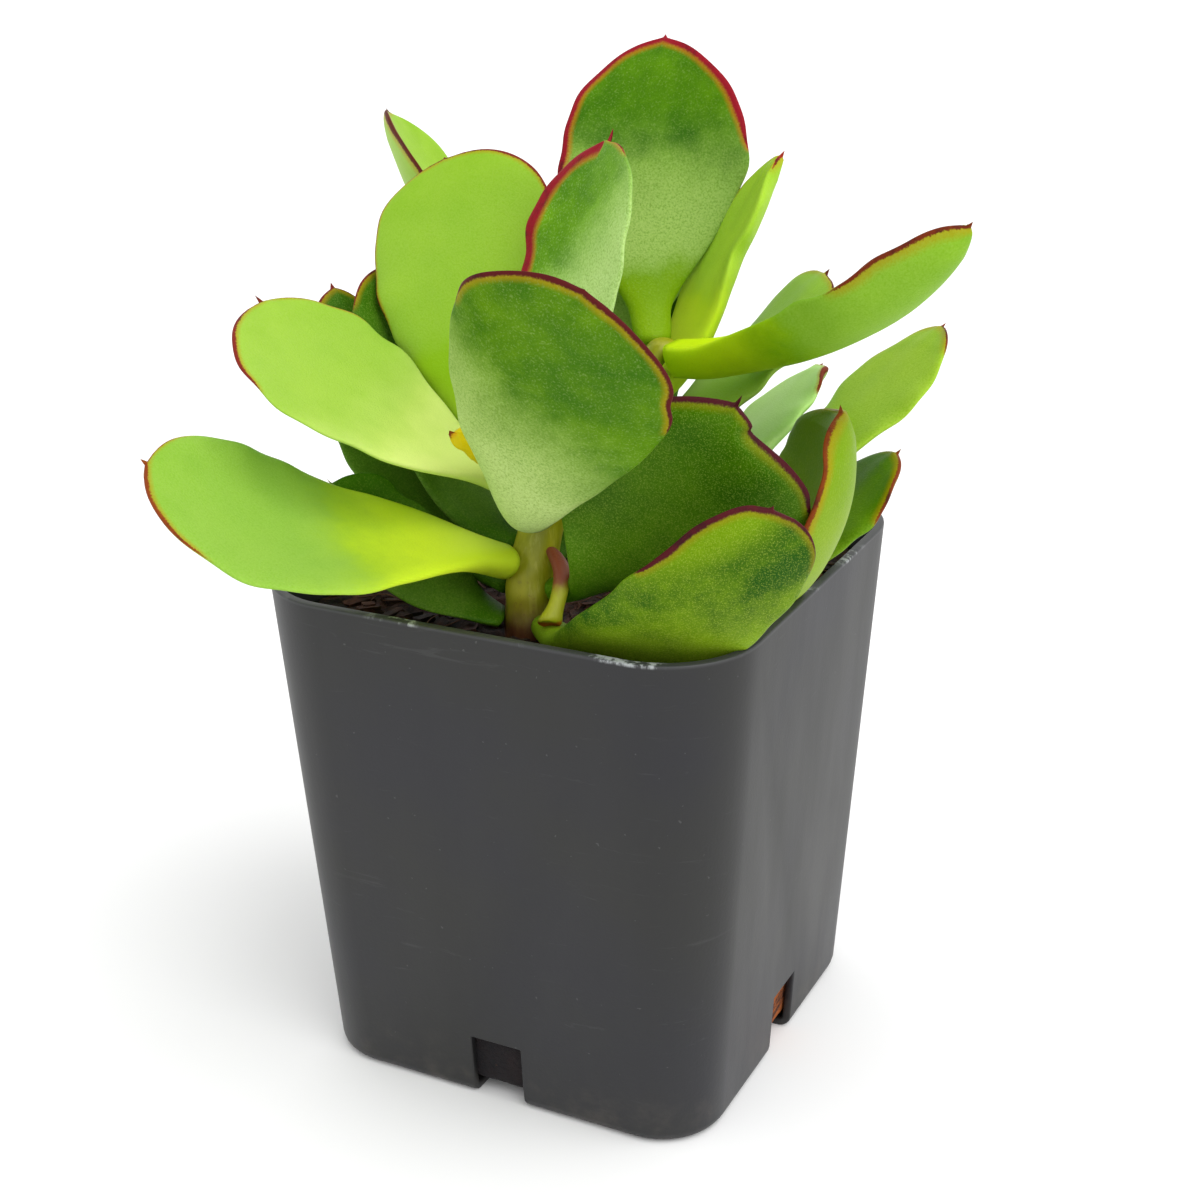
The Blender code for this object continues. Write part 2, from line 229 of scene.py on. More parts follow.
pot_plastic, tree, shader = new_material("pot_plastic")
cloudy = ramped(tree, grain(tree, 45, 4), 0.35, 0.7)
plastic = blended(tree, cloudy, srgb(26, 26, 25), srgb(23, 23, 29))
place = add_node(tree, "SeparateXYZ", Vector=add_node(tree, "TexCoord").outputs["Object"])
over_foot = ramped(tree, place.outputs["Z"], 0.0, 9 * MM, 1.0, 0.0)
dusty = worked(tree, "MULTIPLY", over_foot, ramped(tree, grain(tree, 260, 5, 0.65), 0.45, 0.75))
plastic = blended(tree, worked(tree, "MULTIPLY", dusty, 0.3), plastic, srgb(88, 80, 72))
flecks = ramped(tree, grain(tree, 1500, 2, 0.4), 0.75, 0.79)
plastic = blended(tree, worked(tree, "MULTIPLY", flecks, 0.15), plastic, srgb(130, 130, 130))
# The top edge of the rim is painted a lighter grey, a painted highlight along it.
near_rim = ramped(tree, place.outputs["Z"], POT_HEIGHT - 0.45 * MM, POT_HEIGHT - JUST)
plastic = blended(tree, worked(tree, "MULTIPLY", near_rim, 0.25), plastic, srgb(96, 98, 100))
# Pale scuffs on the rim's edge: partly real scuffs, partly a painted highlight along the rim.
scuff_and_glint_pattern = worked(tree, "MULTIPLY", ramped(tree, grain(tree, 110, 2), 0.52, 0.62),
                 ramped(tree, grain(tree, 700, 5, 0.7, (1, 1, 0.3)), 0.45, 0.6))
rim_scuffs_and_highlight = worked(tree, "MULTIPLY", near_rim, scuff_and_glint_pattern)
plastic = blended(tree, worked(tree, "MULTIPLY", rim_scuffs_and_highlight, 0.7), plastic, srgb(190, 195, 196))
scratches = ramped(tree, grain(tree, 90, 6, 0.75, (1, 1, 9), 1.5), 0.60, 0.72)
plastic = blended(tree, worked(tree, "MULTIPLY", scratches, 0.1), plastic, srgb(100, 100, 102))
tree.links.new(plastic, shader.inputs["Base Color"])
tree.links.new(ramped(tree, grain(tree, 160, 4, 0.6, (1, 1, 0.2)), 0.3, 0.7, 0.43, 0.48), shader.inputs["Roughness"])
rough_up(tree, shader, grain(tree, 2600, 3), 0.02 * MM, 0.6)
shader.inputs["Specular IOR Level"].default_value = 0.46
pot.data.materials.append(pot_plastic)
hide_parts("pot")
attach(pot, "root")


# ---------------------------------------------------------------- soil
# Potting mix of bark, peat and coir. It fills the pot to a finger's breadth under the rim, and loose
# chips and fibres lie on it. Some coir shows through the drain slot on the right, and low down the mix
# is painted near-black, painted shade inside the other slots.
SOIL_TOP = 54.0 * MM
SOIL_FOOT = 1.5 * MM
SOIL_REACH = 25.0 * MM
SOIL_CORNER = (17 * MM, 8 * MM)
FIBRE_RADIUS = 0.09 * MM
FIBRE_STEPS = 7
soil_rng = random.Random(11)
soil = square_block("soil_block", 53.6 * MM, 47.0 * MM, SOIL_TOP - SOIL_FOOT, 9.0 * MM, 6.5 * MM, SOIL_FOOT)
finish_with(soil, "REMESH", mode="VOXEL", voxel_size=0.62 * MM)
surface = soil.vertex_groups.new(name="surface")
for vert in soil.data.vertices:
    surface.add([vert.index], 1.0 if vert.co.z > SOIL_TOP - 0.5 * MM else 0.22, "REPLACE")
for size, depth in ((7.0, 2.2), (2.2, 1.4), (0.9, 0.6)):
    lumps = bpy.data.textures.new("soil_lumps", "CLOUDS")
    lumps.noise_scale = size * MM
    lumps.noise_depth = 2
    finish_with(soil, "DISPLACE", texture=lumps, texture_coords="LOCAL", strength=depth * MM, mid_level=0.5,
                vertex_group="surface")
bpy.ops.object.shade_smooth()

potting_mix, tree, shader = new_material("potting_mix")
crumbs = grain(tree, 700, 6, 0.7)
mix = blended(tree, ramped(tree, crumbs, 0.35, 0.6), srgb(18, 12, 9), srgb(58, 34, 24))
mix = blended(tree, ramped(tree, grain(tree, 190, 4), 0.5, 0.68), mix, srgb(84, 44, 28))
mix = blended(tree, ramped(tree, grain(tree, 2400, 3), 0.66, 0.74), mix, srgb(120, 84, 58))
place = add_node(tree, "SeparateXYZ", Vector=add_node(tree, "TexCoord").outputs["Object"])
# Painted shade: low down, except by the right slot, the mix is painted near-black for the shade inside the drain slots.
slot_shade = worked(tree, "MULTIPLY", ramped(tree, place.outputs["Z"], 10 * MM, 16 * MM, 1.0, 0.0),
              ramped(tree, place.outputs["X"], 18 * MM, 22 * MM, 1.0, 0.0))
mix = blended(tree, worked(tree, "MULTIPLY", slot_shade, 0.85), mix, srgb(6, 6, 14))
husk = worked(tree, "MULTIPLY", ramped(tree, place.outputs["Z"], 10 * MM, 14 * MM, 1.0, 0.0),
              ramped(tree, place.outputs["X"], 20 * MM, 22 * MM))
strands = ramped(tree, grain(tree, 800, 5, 0.7, (1, 0.3, 1)), 0.38, 0.62)
mix = blended(tree, husk, mix, blended(tree, strands, srgb(58, 26, 8), srgb(178, 92, 24)))
tree.links.new(mix, shader.inputs["Base Color"])
shader.inputs["Roughness"].default_value = 0.95
rough_up(tree, shader, grain(tree, 1500, 6, 0.75), 0.5 * MM)
soil.data.materials.append(potting_mix)
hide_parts("soil")
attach(soil, "root")


def bark_chip(size):
    """One broken chip: a block with its corners knocked about."""
    chip = box_at("bark_chip", size, (0, 0, 0))
    bpy.ops.object.mode_set(mode="EDIT")
    bpy.ops.mesh.select_all(action="SELECT")
    bpy.ops.mesh.subdivide(number_cuts=1)
    bpy.ops.object.mode_set(mode="OBJECT")
    for vert in chip.data.vertices:
        vert.co *= soil_rng.uniform(0.72, 1.15)
    return chip


def coir_fibre(length, bend):
    """One wiry strand, swept from a small ring along a bent line."""
    bpy.ops.object.select_all(action="DESELECT")
    bpy.ops.mesh.primitive_circle_add(vertices=5, radius=FIBRE_RADIUS, fill_type="NGON", rotation=(0, math.pi / 2, 0))
    bpy.ops.object.transform_apply(location=True, rotation=True, scale=True)
    bpy.ops.object.mode_set(mode="EDIT")
    bpy.ops.mesh.select_mode(type="FACE")
    bpy.ops.mesh.select_all(action="SELECT")
    for step in range(FIBRE_STEPS):
        way = (length / FIBRE_STEPS, bend * math.cos(step * 0.9), bend * 0.35 * math.sin(step * 1.3))
        bpy.ops.mesh.extrude_region_move(TRANSFORM_OT_translate={"value": way})
    bpy.ops.mesh.select_all(action="SELECT")
    bpy.ops.mesh.normals_make_consistent(inside=False)
    bpy.ops.transform.translate(value=(-length / 2, 0, 0))
    bpy.ops.object.mode_set(mode="OBJECT")
    return bpy.context.object


def scatter(name, patterns, count, sizes, look, sunk, tilt):
    """Copies of the patterns strewn over the soil inside its round corners, as one piece."""
    pieces = []
    for _ in range(count):
        pattern = soil_rng.choice(patterns)
        copy = bpy.data.objects.new(name, pattern.data.copy())
        bpy.context.scene.collection.objects.link(copy)
        size = soil_rng.uniform(*sizes)
        reach = SOIL_REACH - pattern.dimensions.x * size / 2
        spot = Vector((soil_rng.uniform(-reach, reach), soil_rng.uniform(-reach, reach), SOIL_TOP + sunk))
        corner, corner_radius = SOIL_CORNER
        past_corner = Vector((max(abs(spot.x) - corner, 0), max(abs(spot.y) - corner, 0)))
        if past_corner.length > corner_radius:
            spot.x *= 0.75
            spot.y *= 0.75
        lean = Matrix.Rotation(soil_rng.uniform(-tilt, tilt), 4, "X")
        spin = Matrix.Rotation(soil_rng.uniform(0, 2 * math.pi), 4, "Z")
        copy.data.transform(Matrix.Translation(spot) @ spin @ lean @ Matrix.Scale(size, 4))
        pieces.append(copy)
    for pattern in patterns:
        bpy.data.objects.remove(pattern)
    bpy.ops.object.select_all(action="DESELECT")
    for piece in pieces:
        piece.select_set(True)
    bpy.context.view_layer.objects.active = pieces[0]
    bpy.ops.object.join()
    pieces[0].name = name
    pieces[0].data.materials.clear()
    pieces[0].data.materials.append(look)
    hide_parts("soil")
    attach(pieces[0], "root")


bark, tree, shader = new_material("bark")
tone = blended(tree, ramped(tree, grain(tree, 230, 2), 0.38, 0.62), srgb(22, 14, 10), srgb(88, 48, 30))
streaks = ramped(tree, grain(tree, 1300, 5, 0.7, (1, 0.25, 1)), 0.4, 0.7)
tree.links.new(blended(tree, streaks, tone, srgb(46, 26, 18)), shader.inputs["Base Color"])
shader.inputs["Roughness"].default_value = 0.9
rough_up(tree, shader, grain(tree, 1800, 5, 0.7, (1, 0.3, 1)), 0.3 * MM)
chip_patterns = [bark_chip((2.6 * MM, 1.5 * MM, 0.8 * MM)), bark_chip((1.6 * MM, 1.4 * MM, 1.1 * MM)),
                 bark_chip((3.6 * MM, 1.0 * MM, 0.6 * MM))]
scatter("bark_chips", chip_patterns, 330, (0.5, 1.2), bark, 0.1 * MM, 0.5)

coir, tree, shader = new_material("coir")
tree.links.new(blended(tree, grain(tree, 300, 2), srgb(56, 32, 18), srgb(112, 70, 40)), shader.inputs["Base Color"])
shader.inputs["Roughness"].default_value = 0.8
rough_up(tree, shader, grain(tree, 3000, 2), 0.05 * MM)
fibre_patterns = [coir_fibre(7 * MM, 0.5 * MM), coir_fibre(5 * MM, -0.7 * MM), coir_fibre(9 * MM, 0.3 * MM)]
scatter("coir_fibres", fibre_patterns, 60, (0.6, 1.1), coir, 0.75 * MM, 0.12)

# ---------------------------------------------------------------- stems
# Soft green stems that turn woody at the soil. Each swells a little where leaves join it, and the
# side shoot comes up out of the soil beside the main stem. Routes are x, y, height and radius in mm.
MAIN_STEM = ((0.0, -14.0, 45.0, 2.9), (0.0, -14.0, 53.0, 2.9), (-0.2, -13.0, 61.0, 2.65), (0.6, -10.6, 68.0, 2.4),
             (3.4, -7.0, 74.5, 2.2), (7.2, -3.6, 80.0, 1.9), (10.0, -1.2, 84.0, 1.6))
SIDE_STEM = ((13.0, -5.0, 45.0, 2.2), (13.0, -5.0, 53.0, 2.2), (14.0, -4.0, 60.0, 1.9), (15.0, -3.0, 65.0, 1.7))
STEM_STEP = 0.8 * MM
JOINT_REACH = 0.9 * MM


def stem_at(route, height):
    """The axis point and the radius of a stem at this height, in metres."""
    knots = np.array(route) * MM
    height = min(max(height, knots[0, 2]), knots[-1, 2])
    x, y, radius = (float(np.interp(height, knots[:, 2], knots[:, column])) for column in (0, 1, 3))
    return Vector((x, y, height)), radius


def grow_stem(name, node, route, joints, look):
    """Sweeps a ring up the route, swelling it at each leaf joint, and rounds off its top."""
    bottom, radius = stem_at(route, 0)
    bpy.ops.object.select_all(action="DESELECT")
    bpy.ops.mesh.primitive_circle_add(vertices=20, radius=radius, fill_type="NGON", location=bottom)
    bpy.ops.object.transform_apply(location=True, rotation=True, scale=True)
    stem = bpy.context.object
    bpy.ops.object.mode_set(mode="EDIT")
    bpy.ops.mesh.select_mode(type="FACE")
    bpy.ops.mesh.select_all(action="SELECT")
    top = route[-1][2] * MM
    heights = np.append(np.arange(bottom.z, top, STEM_STEP)[1:], (top, top + 0.5 * MM, top + STEM_STEP))
    last, last_size = bottom, radius
    for step, height in enumerate(heights):
        place, size = stem_at(route, height)
        place.z = height
        near = min(abs(height - joint * MM) for joint in joints)
        size *= 1 + 0.07 * math.exp(-((near / JOINT_REACH) ** 2))
        if height > top:
            size *= 0.8 if step == len(heights) - 2 else 0.4
        bpy.ops.mesh.extrude_region_move(TRANSFORM_OT_translate={"value": place - last})
        bpy.ops.transform.resize(value=[size / last_size] * 3, center_override=place)
        last, last_size = place, size
    bpy.ops.mesh.select_all(action="SELECT")
    bpy.ops.mesh.normals_make_consistent(inside=False)
    bpy.ops.object.mode_set(mode="OBJECT")
    finish_with(stem, "SUBSURF", levels=1, render_levels=1)
    bpy.ops.object.shade_smooth()
    stem.name = name
    stem.data.materials.append(look)
    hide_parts(node)
    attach(stem, "root")


stem_skin, tree, shader = new_material("stem_skin")
green = blended(tree, ramped(tree, grain(tree, 260, 4, 0.6, (1, 1, 0.25)), 0.35, 0.65), srgb(146, 148, 6),
                srgb(182, 178, 30))
pale = ramped(tree, grain(tree, 1500, 4, 0.6, (1, 1, 0.12)), 0.52, 0.66)
green = blended(tree, worked(tree, "MULTIPLY", pale, 0.25), green, srgb(210, 204, 96))
place = add_node(tree, "SeparateXYZ", Vector=add_node(tree, "TexCoord").outputs["Object"])
unevenly = worked(tree, "MULTIPLY", grain(tree, 400, 3), 3 * MM)
height = worked(tree, "SUBTRACT", place.outputs["Z"], unevenly)
green = blended(tree, ramped(tree, height, 53 * MM, 59 * MM, 1.0, 0.0), green, srgb(84, 44, 24))
corky = worked(tree, "MULTIPLY", ramped(tree, grain(tree, 900, 5, 0.7), 0.55, 0.68),
               ramped(tree, height, 53 * MM, 63 * MM, 0.7, 0.05))
green = blended(tree, corky, green, srgb(120, 90, 40))
tree.links.new(green, shader.inputs["Base Color"])
shader.inputs["Roughness"].default_value = 0.45
rough_up(tree, shader, grain(tree, 1100, 4, 0.6, (1, 1, 0.2)), 0.12 * MM)

grow_stem("plant_stem", "main_stem", MAIN_STEM, (55.5, 59, 62, 67.5, 70, 74.5, 77, 79.5, 83.5), stem_skin)
grow_stem("side_shoot", "side_stem", SIDE_STEM, (56.5, 59, 61.5, 65), stem_skin)

# ---------------------------------------------------------------- stump
# The dried stalk of a leaf that has dropped. It is red where it joins the stem, yellow-green lower down
# and ends in a knob with an orange scar. Its points are x, y, height and radius in mm.
STUMP = ((1.6, -12.3, 63.9, 0.9), (4.7, -15.0, 62.7, 1.05), (5.2, -16.1, 61.7, 1.0), (5.3, -17.0, 60.6, 0.9),
         (5.3, -17.7, 59.6, 0.9), (5.1, -18.3, 58.7, 1.1), (5.0, -18.7, 58.0, 1.4), (4.9, -18.9, 57.6, 1.2))
STUMP_HANG = Vector((0.2, -0.62, -0.76))
bpy.ops.object.select_all(action="DESELECT")
bpy.ops.mesh.primitive_circle_add(vertices=12, radius=STUMP[0][3] * MM, fill_type="NGON",
                                  location=Vector(STUMP[0][:3]) * MM,
                                  rotation=STUMP_HANG.to_track_quat("Z", "Y").to_euler())
bpy.ops.object.transform_apply(location=True, rotation=True, scale=True)
stump = bpy.context.object
bpy.ops.object.mode_set(mode="EDIT")
bpy.ops.mesh.select_mode(type="FACE")
bpy.ops.mesh.select_all(action="SELECT")
for before, after in zip(STUMP, STUMP[1:]):
    place = Vector(after[:3]) * MM
    bpy.ops.mesh.extrude_region_move(TRANSFORM_OT_translate={"value": place - Vector(before[:3]) * MM})
    bpy.ops.transform.resize(value=[after[3] / before[3]] * 3, center_override=place)
bpy.ops.mesh.inset(thickness=0.35 * MM)
bpy.ops.transform.translate(value=(0, 0, 0.25 * MM))
bpy.ops.mesh.select_all(action="SELECT")
bpy.ops.mesh.normals_make_consistent(inside=False)
bpy.ops.object.mode_set(mode="OBJECT")
finish_with(stump, "SUBSURF", levels=2, render_levels=2)
bpy.ops.object.shade_smooth()
stump.name = "leaf_stump"
stump_skin, tree, shader = new_material("stump_skin")
place = add_node(tree, "SeparateXYZ", Vector=add_node(tree, "TexCoord").outputs["Object"])
height = worked(tree, "ADD", place.outputs["Z"], worked(tree, "MULTIPLY", grain(tree, 900, 3), 1.2 * MM))
skin = blended(tree, ramped(tree, height, 61.1 * MM, 62.9 * MM), srgb(170, 174, 24), srgb(132, 62, 36))
skin = blended(tree, ramped(tree, height, 58.4 * MM, 59.0 * MM, 1.0, 0.0), skin, srgb(190, 84, 24))
tree.links.new(skin, shader.inputs["Base Color"])
shader.inputs["Roughness"].default_value = 0.5
rough_up(tree, shader, grain(tree, 2200, 4, 0.6, (1, 1, 0.3)), 0.1 * MM)
stump.data.materials.append(stump_skin)
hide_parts("petiole_stump")
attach(stump, "root")


# ---------------------------------------------------------------- low leaves
# Thick, spoon-shaped leaves on short stalks, low on the main stem. Each is one fleshy body that ends in
# a small point, with a waxy skin, a pale mealy bloom and a red edge over its outer half.
LEAF_THICKNESS = 2.6
CLEAR_OF_STEM = 0.35 * MM
HALF_A_FOOT = 1.5 * MM
MIDRIB_STEPS = 300
RED_FADES_BY = 1.2


def eased(share):
    """Goes smoothly from 0 to 1 as the share does."""
    share = np.clip(share, 0, 1)
    return share * share * (3 - 2 * share)


def leaf_axes(leaf, along):
    """At these shares of the length: the way on, the way to the left edge, and the way out of the upper face."""
    heading = np.radians(leaf["heading"] + leaf["swing"] * along)
    rise = np.radians(leaf["rise"] + leaf["bend"] * eased(along / 0.4) + leaf["curl"] * along)
    roll = np.radians(leaf["roll"] * eased(along / 0.35) + leaf["twist"] * along)[:, None]
    forward = np.stack([np.cos(heading) * np.cos(rise), np.sin(heading) * np.cos(rise), np.sin(rise)], axis=1)
    level = np.stack([-np.sin(heading), np.cos(heading), 0 * heading], axis=1)
    upright = np.cross(forward, level)
    left = level * np.cos(roll) + upright * np.sin(roll)
    upper = upright * np.cos(roll) - level * np.sin(roll)
    return forward, left, upper


def leaf_midrib(leaf, along):
    """The midrib, from just inside the stem's skin."""
    height = leaf["height"] * MM
    middle, radius = stem_at(leaf["stem"], height)
    way_up = stem_at(leaf["stem"], height + 1.5 * MM)[0] - stem_at(leaf["stem"], height - 1.5 * MM)[0]
    way_up.normalize()
    turn = math.radians(leaf["heading"])
    out = Vector((math.cos(turn), math.sin(turn), 0))
    out = (out - way_up * out.dot(way_up)).normalized()
    upper = Vector(leaf_axes(leaf, np.array([0.0]))[2][0])
    foot = middle + out * (radius + CLEAR_OF_STEM + abs(upper.dot(out)) * HALF_A_FOOT)
    forward = leaf_axes(leaf, (np.arange(MIDRIB_STEPS) + 0.5) / MIDRIB_STEPS)[0]
    walked = np.vstack([np.zeros(3), np.cumsum(forward, axis=0)]) * leaf["length"] * MM / MIDRIB_STEPS
    knots = np.arange(MIDRIB_STEPS + 1) / MIDRIB_STEPS
    midrib = np.stack([np.interp(along, knots, walked[:, axis]) for axis in range(3)], axis=1) + np.array(foot)
    rooted = np.clip(1 - along / 0.14, 0, 1) ** 2 * leaf["rooted"] * MM
    return midrib - np.array(out) * rooted[:, None]


def leaf_half_width(leaf, along):
    """Half the width in mm: a stalk that clasps the stem, a spoon-shaped blade, and a small point."""
    point = leaf["point"] / leaf["length"]
    blade = np.clip(along / (1 - point), 0, 1)
    grown = np.clip((blade - leaf["petiole"]) / (1 - leaf["petiole"]), 0, 1)
    narrowing = leaf["blunt"]
    widening = max(leaf["widest"] * narrowing / (1 - leaf["widest"]), 0.8)
    peak = widening / (widening + narrowing)
    spoon = (grown / peak) ** widening * ((1 - grown) / (1 - peak)) ** narrowing * leaf["width"] / 2
    neck = leaf["neck"] / 2 * np.sqrt(1 - blade) * (1 - 0.3 * np.clip(1 - along / 0.08, 0, 1) ** 2)
    tip = 0.5 * np.clip((1 - along) / (2 * point), 0, 1)
    return np.maximum(np.cbrt(neck**3 + spoon**3), tip)


def leaf_blank(rings, around):
    """A ball whose poles become a leaf's foot and tip. Every leaf is drawn out from a copy of it."""
    bpy.ops.object.select_all(action="DESELECT")
    bpy.ops.mesh.primitive_uv_sphere_add(segments=around, ring_count=rings, radius=1)
    bpy.ops.object.shade_smooth()
    return bpy.context.object


def grow_leaf(name, skin, stem=MAIN_STEM, bend=0, curl=0, swing=0, roll=0, twist=0, petiole=0.05, widest=0.6,
              blunt=0.5, neck=4.0, cup=0.05, skew=0.0, point=0.8, plump=1.0, rooted=1.2, wavy=0.35, ruffle=0.4,
              dents=(), red_left=(0.8, 0.3), red_right=(0.8, 0.3), **shape):
    """A leaf, drawn out from the blank. Lengths are in mm, angles in degrees, and the rest shares of its size.

    height     where it leaves its stem
    heading    the way it points, seen from above, from +X towards +Y, and swing how far that turns by the tip
    rise       how steeply it sets off, with bend added by two fifths of its length and curl by its tip
    roll       how far the blade leans over about its midrib, with twist added by the tip
    petiole    how much of it is stalk, widest where its blade is widest, and blunt how quickly it narrows past there
    neck       width at the foot, and rooted how far the foot goes into the stem
    cup        how far the edges stand up, and skew how much wider the left half is than the right
    point      length of the small point at the tip, and plump its thickness against that of a usual leaf
    wavy       how far the edge wanders in the blade's plane, and ruffle how far out of it
    dents      bites out of the edge and bulges: where along it, side (1 is left), depth and spread
    red_left   where the left side's red edge starts along it, and its width, and red_right the same for the right
    """
    leaf = dict(stem=stem, bend=bend, curl=curl, swing=swing, roll=roll, twist=twist, petiole=petiole,
                widest=widest, blunt=blunt, neck=neck, point=point, rooted=rooted, **shape)
    mesh = blank.data.copy()
    mesh.name = name
    ball = np.empty(len(mesh.vertices) * 3)
    mesh.vertices.foreach_get("co", ball)
    ball = ball.reshape(-1, 3)
    lined = np.arccos(np.clip(-ball[:, 2], -1, 1)) / math.pi
    along = np.clip(1 - (1 - lined) ** 1.3, 0, 1)
    around = np.arctan2(ball[:, 1], ball[:, 0])
    at_pole = np.hypot(ball[:, 0], ball[:, 1]) < 1e-4
    across = np.where(at_pole, 0, np.cos(around))
    through = np.where(at_pole, 0, np.sin(around))

    # the edge wanders a little and ruffles more towards the tip, each side in its own way
    rng = np.random.default_rng(sum(map(ord, name)))
    grown = eased((along - 0.25) / 0.3) * np.clip((1 - along) / 0.04, 0, 1)
    side = np.where(across > 0, 0, 1)
    waves = np.zeros((2, len(along)))
    lifts = np.zeros((2, len(along)))
    for edge in (0, 1):
        for cycles in (2.3, 4.1, 7.3):
            waves[edge] += np.sin(2 * math.pi * (cycles * along + rng.random())) * rng.uniform(0.3, 1) / cycles
            lifts[edge] += np.sin(2 * math.pi * (cycles * along + rng.random())) * rng.uniform(0.3, 1) / cycles
    half = leaf_half_width(leaf, along) * np.where(across > 0, 1 + skew, 1 - skew)
    half = half + np.where(side == 0, waves[0], waves[1]) * wavy * grown * 2
    for where, edge, depth, spread in dents:
        half = half + np.where(across * edge > 0, depth, 0) * np.exp(-(((along - where) / spread) ** 2)) * grown
    half = np.maximum(half, 0)
    ruffled = np.where(side == 0, lifts[0], lifts[1]) * ruffle * grown * 2 * np.abs(across) ** 3

    thick = LEAF_THICKNESS * plump * (1.15 - 0.5 * along) * np.sqrt(np.clip((1 - along) / 0.1, 0, 1))
    thick = np.minimum(thick, 1.8 * leaf_half_width(leaf, along))
    swollen = 0.10 * np.sin(9 * along + 4 * across) * np.sin(7 * along - 3 * across + 1) * grown
    forward, left, upper = leaf_axes(leaf, along)
    reach = half * across * MM
    lift = (cup * leaf_half_width(leaf, along) * across**2 + thick / 2 * through + ruffled + swollen) * MM
    place = leaf_midrib(leaf, along) + left * reach[:, None] + upper * lift[:, None]
    mesh.vertices.foreach_set("co", place.ravel())

    # where each point is on the leaf, for its skin: share of the length, side to side, mm from the edge
    flat = np.stack([along * leaf["length"], half * across], axis=1)
    steps = np.linspace(0, 1, 500)
    apart = np.full(len(along), 1e9)
    for edge in (1, -1):
        order = np.argsort(along[across * edge > 0.999])
        rim = flat[across * edge > 0.999][order]
        line = np.stack([np.interp(steps, np.linspace(0, 1, len(rim)), rim[:, axis]) for axis in (0, 1)], axis=1)
        for start in range(0, len(flat), 1000):
            gaps = np.linalg.norm(flat[start:start + 1000, None] - line[None], axis=2)
            apart[start:start + 1000] = np.minimum(apart[start:start + 1000], gaps.min(axis=1))
    apart = np.hypot(apart, thick / 2 * through)
    red_edge = np.zeros(len(along))
    for edge, (start, width) in ((1, red_left), (-1, red_right)):
        taper = np.clip((along - start) / 0.12, 0, 1) ** 0.7 * width * RED_FADES_BY
        red_edge = np.where((across * edge > -0.05) | (along > 0.985), np.maximum(red_edge, taper), red_edge)
    for label, values in (("along", along), ("across", across), ("from_edge", apart), ("red_edge", red_edge)):
        mesh.attributes.new(label, "FLOAT", "POINT").data.foreach_set("value", values.astype(np.float32))
    mesh.update()

    made = bpy.data.objects.new("skin_" + name, mesh)
    bpy.context.scene.collection.objects.link(made)
    mesh.materials.append(skin)
    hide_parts(name)
    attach(made, "root")


